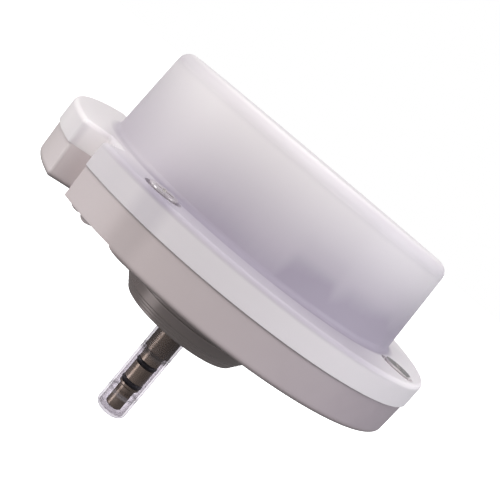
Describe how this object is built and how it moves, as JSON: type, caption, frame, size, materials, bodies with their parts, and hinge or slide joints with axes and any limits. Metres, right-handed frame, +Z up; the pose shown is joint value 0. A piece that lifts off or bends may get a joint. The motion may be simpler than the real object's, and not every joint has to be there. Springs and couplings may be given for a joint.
{
  "type": "motorised actuator head",
  "caption": "Round motorised valve actuator head: milky translucent drum cover on a shallow base, dark ringed hub and a sealed metal spindle in a clear transport sleeve.",
  "frame": {"origin": "centre of the hub's seating face, on the spindle axis", "axes": "+Z up along the spindle, from the valve to the drum; the cable lobe points along -X"},
  "size_m": [0.09, 0.09, 0.069],
  "materials": {
    "base_plastic": "milky white satin plastic, fine grain",
    "cover_plastic": "milky white translucent satin plastic",
    "dark_rubber": "matt",
    "bright_screw": "bright zinc plating",
    "hub_metal": "dark warm grey, satin",
    "bush_bronze": "sintered, oiled",
    "pin_steel": "ground",
    "plate_steel": "zinc plated sheet",
    "motor_shell": "drawn can, satin",
    "switch_plastic": "black moulded",
    "contact_metal": "tinned",
    "board_laminate": "green solder mask",
    "relay_plastic": "dark blue-black case",
    "capacitor_plastic": "yellow film capacitor",
    "terminal_plastic": "green moulded",
    "spindle_metal": "turned and plated, warm nickel",
    "seal_rubber": "black, oiled",
    "gear_plastic": "natural acetal",
    "cam_plastic": "black acetal",
    "pinion_brass": "cut brass",
    "plunger_plastic": "red moulded",
    "clear_plastic": "clear moulded plastic"
  },
  "bodies": {
    "housing": {"base_shell": "base_plastic", "top_cover": "cover_plastic", "cover_gasket": "dark_rubber", "cover_screws": "bright_screw", "adapter_hub": "hub_metal", "hub_screws": "bright_screw", "spindle_bush": "bush_bronze", "gear_axles": "pin_steel", "gear_plate": "plate_steel", "plate_screws": "bright_screw", "motor_end_plate": "plate_steel", "motor_can": "motor_shell", "motor_screws": "bright_screw", "lower_switch": "switch_plastic", "upper_switch": "switch_plastic", "switch_terminals": "contact_metal", "switch_screws": "bright_screw", "circuit_board": "board_laminate", "board_screws": "bright_screw", "relay": "relay_plastic", "capacitor": "capacitor_plastic", "terminal_block": "terminal_plastic", "terminal_screws": "contact_metal", "cable_grommet": "dark_rubber", "cable_clamp": "base_plastic", "clamp_screws": "bright_screw"},
    "output_stage": {"spindle": "spindle_metal", "spindle_seals": "seal_rubber", "retaining_ring": "pin_steel", "output_gear": "gear_plastic", "switch_cam": "cam_plastic"},
    "intermediate_stage": {"intermediate_gear": "gear_plastic"},
    "first_stage": {"first_gear": "gear_plastic"},
    "rotor": {"motor_pinion": "pinion_brass"},
    "lower_button": {"lower_plunger": "plunger_plastic"},
    "upper_button": {"upper_plunger": "plunger_plastic"},
    "sleeve": {"transport_sleeve": "clear_plastic"}
  },
  "joints": [
    {"name": "spindle_turn", "type": "hinge", "parent": "housing", "child": "output_stage", "pos_m": [0, 0, 0], "axis": [0, 0, 1], "range_deg": [0, 90]},
    {"name": "intermediate_turn", "type": "hinge", "parent": "housing", "child": "intermediate_stage", "pos_m": [0.01267, 0.01823, 0], "axis": [0, 0, 1], "range_deg": [-386.71, 0]},
    {"name": "first_turn", "type": "hinge", "parent": "housing", "child": "first_stage", "pos_m": [0.02045, 0.00483, 0], "axis": [0, 0, 1], "range_deg": [0, 1323.45]},
    {"name": "rotor_turn", "type": "hinge", "parent": "housing", "child": "rotor", "pos_m": [0.0175, -0.00886, 0], "axis": [0, 0, 1], "range_deg": [-3968.35, 0]},
    {"name": "lower_button_press", "type": "slide", "parent": "housing", "child": "lower_button", "axis": [1, 0, 0], "range_m": [0, 0.00062]},
    {"name": "upper_button_press", "type": "slide", "parent": "housing", "child": "upper_button", "axis": [-1, 0, 0], "range_m": [0, 0.00062]},
    {"name": "sleeve_pull", "type": "slide", "parent": "housing", "child": "sleeve", "axis": [0, 0, -1], "range_m": [0, 0.03]}
  ],
  "couplings": [
    {"joint": "intermediate_turn", "follows": "spindle_turn", "ratio": -4.2857},
    {"joint": "first_turn", "follows": "spindle_turn", "ratio": 14.694},
    {"joint": "rotor_turn", "follows": "spindle_turn", "ratio": -44.082},
    {"joint": "lower_button_press", "follows": "spindle_turn", "m_per_rad": 0.00038197},
    {"joint": "upper_button_press", "follows": "spindle_turn", "m_per_rad": 0.00038197}
  ]
}
